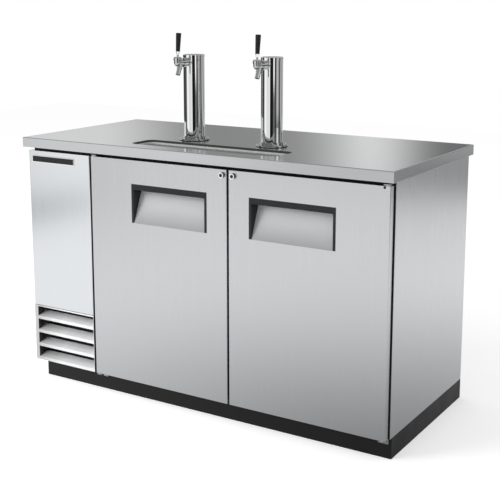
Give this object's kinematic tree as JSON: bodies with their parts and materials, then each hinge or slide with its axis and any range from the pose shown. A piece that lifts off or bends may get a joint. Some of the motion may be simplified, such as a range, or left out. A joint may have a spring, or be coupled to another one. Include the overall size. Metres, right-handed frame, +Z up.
{
  "type": "direct draw beer dispenser",
  "caption": "Refrigerated stainless keg cabinet with hinged doors, a louvred machine compartment, a sunk drip tray and chrome tap towers on its worktop.",
  "frame": {"origin": "on the floor, under the middle of the worktop", "axes": "+X to the right seen from the front, +Y to the back, +Z up"},
  "size_m": [1.502, 0.689, 1.3313],
  "materials": {
    "black_paint": "satin black paint",
    "panel_steel": "vertical brush grain",
    "worktop_steel": "lengthwise brush grain",
    "drip_steel": "fine satin",
    "liner_metal": "plain sheet",
    "foam": "rigid foam",
    "black_plastic": "fine texture",
    "black_rubber": "matt",
    "white_plastic": "smooth",
    "zinc_steel": "zinc plate",
    "polished_chrome": "mirror polish",
    "brass": "plain",
    "fin_aluminium": "mill finish",
    "copper": "drawn tube",
    "tap_black": "moulded, semi-gloss"
  },
  "bodies": {
    "cabinet": {"base_frame": "black_paint", "compressor": "black_paint", "condenser_coil": "black_paint", "condenser_fan_shroud": "black_paint", "condenser_fan_motor": "black_paint", "evaporator_fan_motor": "black_paint", "right_side_panel": "panel_steel", "left_side_panel": "panel_steel", "back_panel": "panel_steel", "machine_front_panel": "panel_steel", "louvre_grille": "panel_steel", "worktop": "worktop_steel", "drip_pan": "drip_steel", "drain_spud": "drip_steel", "beer_tubes": "drip_steel", "inner_liner": "liner_metal", "evaporator_cover": "liner_metal", "cabinet_insulation": "foam", "worktop_core": "foam", "tower_foam": "foam", "frame_strips": "black_plastic", "centre_mullion": "black_plastic", "tower_gaskets": "black_rubber", "gas_line_bush": "black_rubber", "hinge_bushes": "white_plastic", "hinge_brackets": "zinc_steel", "tower_columns": "polished_chrome", "tower_caps": "polished_chrome", "tower_flanges": "polished_chrome", "flange_screws": "polished_chrome", "shanks": "polished_chrome", "coupling_nuts": "polished_chrome", "faucet_bodies": "polished_chrome", "faucet_bonnets": "polished_chrome", "shank_nuts": "brass", "evaporator_coil": "fin_aluminium", "refrigerant_lines": "copper"},
    "door_left": {"door_skin_left": "panel_steel", "door_liner_left": "white_plastic", "door_gasket_left": "black_rubber", "door_handle_left": "black_plastic", "lock_barrel_left": "polished_chrome"},
    "door_right": {"door_skin_right": "panel_steel", "door_liner_right": "white_plastic", "door_gasket_right": "black_rubber", "door_handle_right": "black_plastic", "lock_barrel_right": "polished_chrome"},
    "lock_left": {"lock_plug_left": "polished_chrome"},
    "lock_right": {"lock_plug_right": "polished_chrome"},
    "lever_left": {"tap_lever_left": "polished_chrome", "tap_handle_left": "tap_black"},
    "lever_right": {"tap_lever_right": "polished_chrome", "tap_handle_right": "tap_black"},
    "plunger_left": {"tap_plunger_left": "polished_chrome"},
    "plunger_right": {"tap_plunger_right": "polished_chrome"},
    "grate_left": {"drip_grate_left": "drip_steel"},
    "grate_right": {"drip_grate_right": "drip_steel"},
    "condenser_fan": {"condenser_fan_blade": "fin_aluminium"},
    "evaporator_fan": {"evaporator_fan_blade": "fin_aluminium"},
    "dial": {"temperature_dial": "black_plastic"}
  },
  "joints": [
    {"name": "door_left_swing", "type": "hinge", "parent": "cabinet", "child": "door_left", "pos_m": [-0.4285, -0.3165, 0.483], "axis": [0, 0, -1], "range_deg": [0, 110]},
    {"name": "door_right_swing", "type": "hinge", "parent": "cabinet", "child": "door_right", "pos_m": [0.722, -0.3165, 0.483], "axis": [0, 0, 1], "range_deg": [0, 110]},
    {"name": "lock_left_turn", "type": "hinge", "parent": "door_left", "child": "lock_left", "pos_m": [0.12525, -0.3265, 0.873], "axis": [0, 1, 0], "range_deg": [0, 90]},
    {"name": "lock_right_turn", "type": "hinge", "parent": "door_right", "child": "lock_right", "pos_m": [0.16825, -0.3265, 0.873], "axis": [0, 1, 0], "range_deg": [0, 90]},
    {"name": "lever_left_pull", "type": "hinge", "parent": "cabinet", "child": "lever_left", "pos_m": [-0.164, -0.1665, 1.24], "axis": [1, 0, 0], "range_deg": [0, 40]},
    {"name": "lever_right_pull", "type": "hinge", "parent": "cabinet", "child": "lever_right", "pos_m": [0.164, -0.1665, 1.24], "axis": [1, 0, 0], "range_deg": [0, 40]},
    {"name": "plunger_left_slide", "type": "slide", "parent": "cabinet", "child": "plunger_left", "axis": [0, 1, 0], "range_m": [0, 0.0095]},
    {"name": "plunger_right_slide", "type": "slide", "parent": "cabinet", "child": "plunger_right", "axis": [0, 1, 0], "range_m": [0, 0.0095]},
    {"name": "grate_left_lift", "type": "slide", "parent": "cabinet", "child": "grate_left", "axis": [0, 0, 1], "range_m": [0, 0.08]},
    {"name": "grate_right_lift", "type": "slide", "parent": "cabinet", "child": "grate_right", "axis": [0, 0, 1], "range_m": [0, 0.08]},
    {"name": "condenser_fan_spin", "type": "hinge", "parent": "cabinet", "child": "condenser_fan", "pos_m": [-0.5925, -0.1845, 0.182], "axis": [0, 1, 0], "continuous": true},
    {"name": "evaporator_fan_spin", "type": "hinge", "parent": "cabinet", "child": "evaporator_fan", "pos_m": [-0.2475, 0.0475, 0.686], "axis": [1, 0, 0], "continuous": true},
    {"name": "dial_turn", "type": "hinge", "parent": "cabinet", "child": "dial", "pos_m": [-0.2475, -0.0975, 0.55], "axis": [1, 0, 0], "range_deg": [0, 270]}
  ],
  "couplings": [
    {"joint": "plunger_left_slide", "follows": "lever_left_pull", "m_per_rad": 0.0133},
    {"joint": "plunger_right_slide", "follows": "lever_right_pull", "m_per_rad": 0.0133}
  ]
}
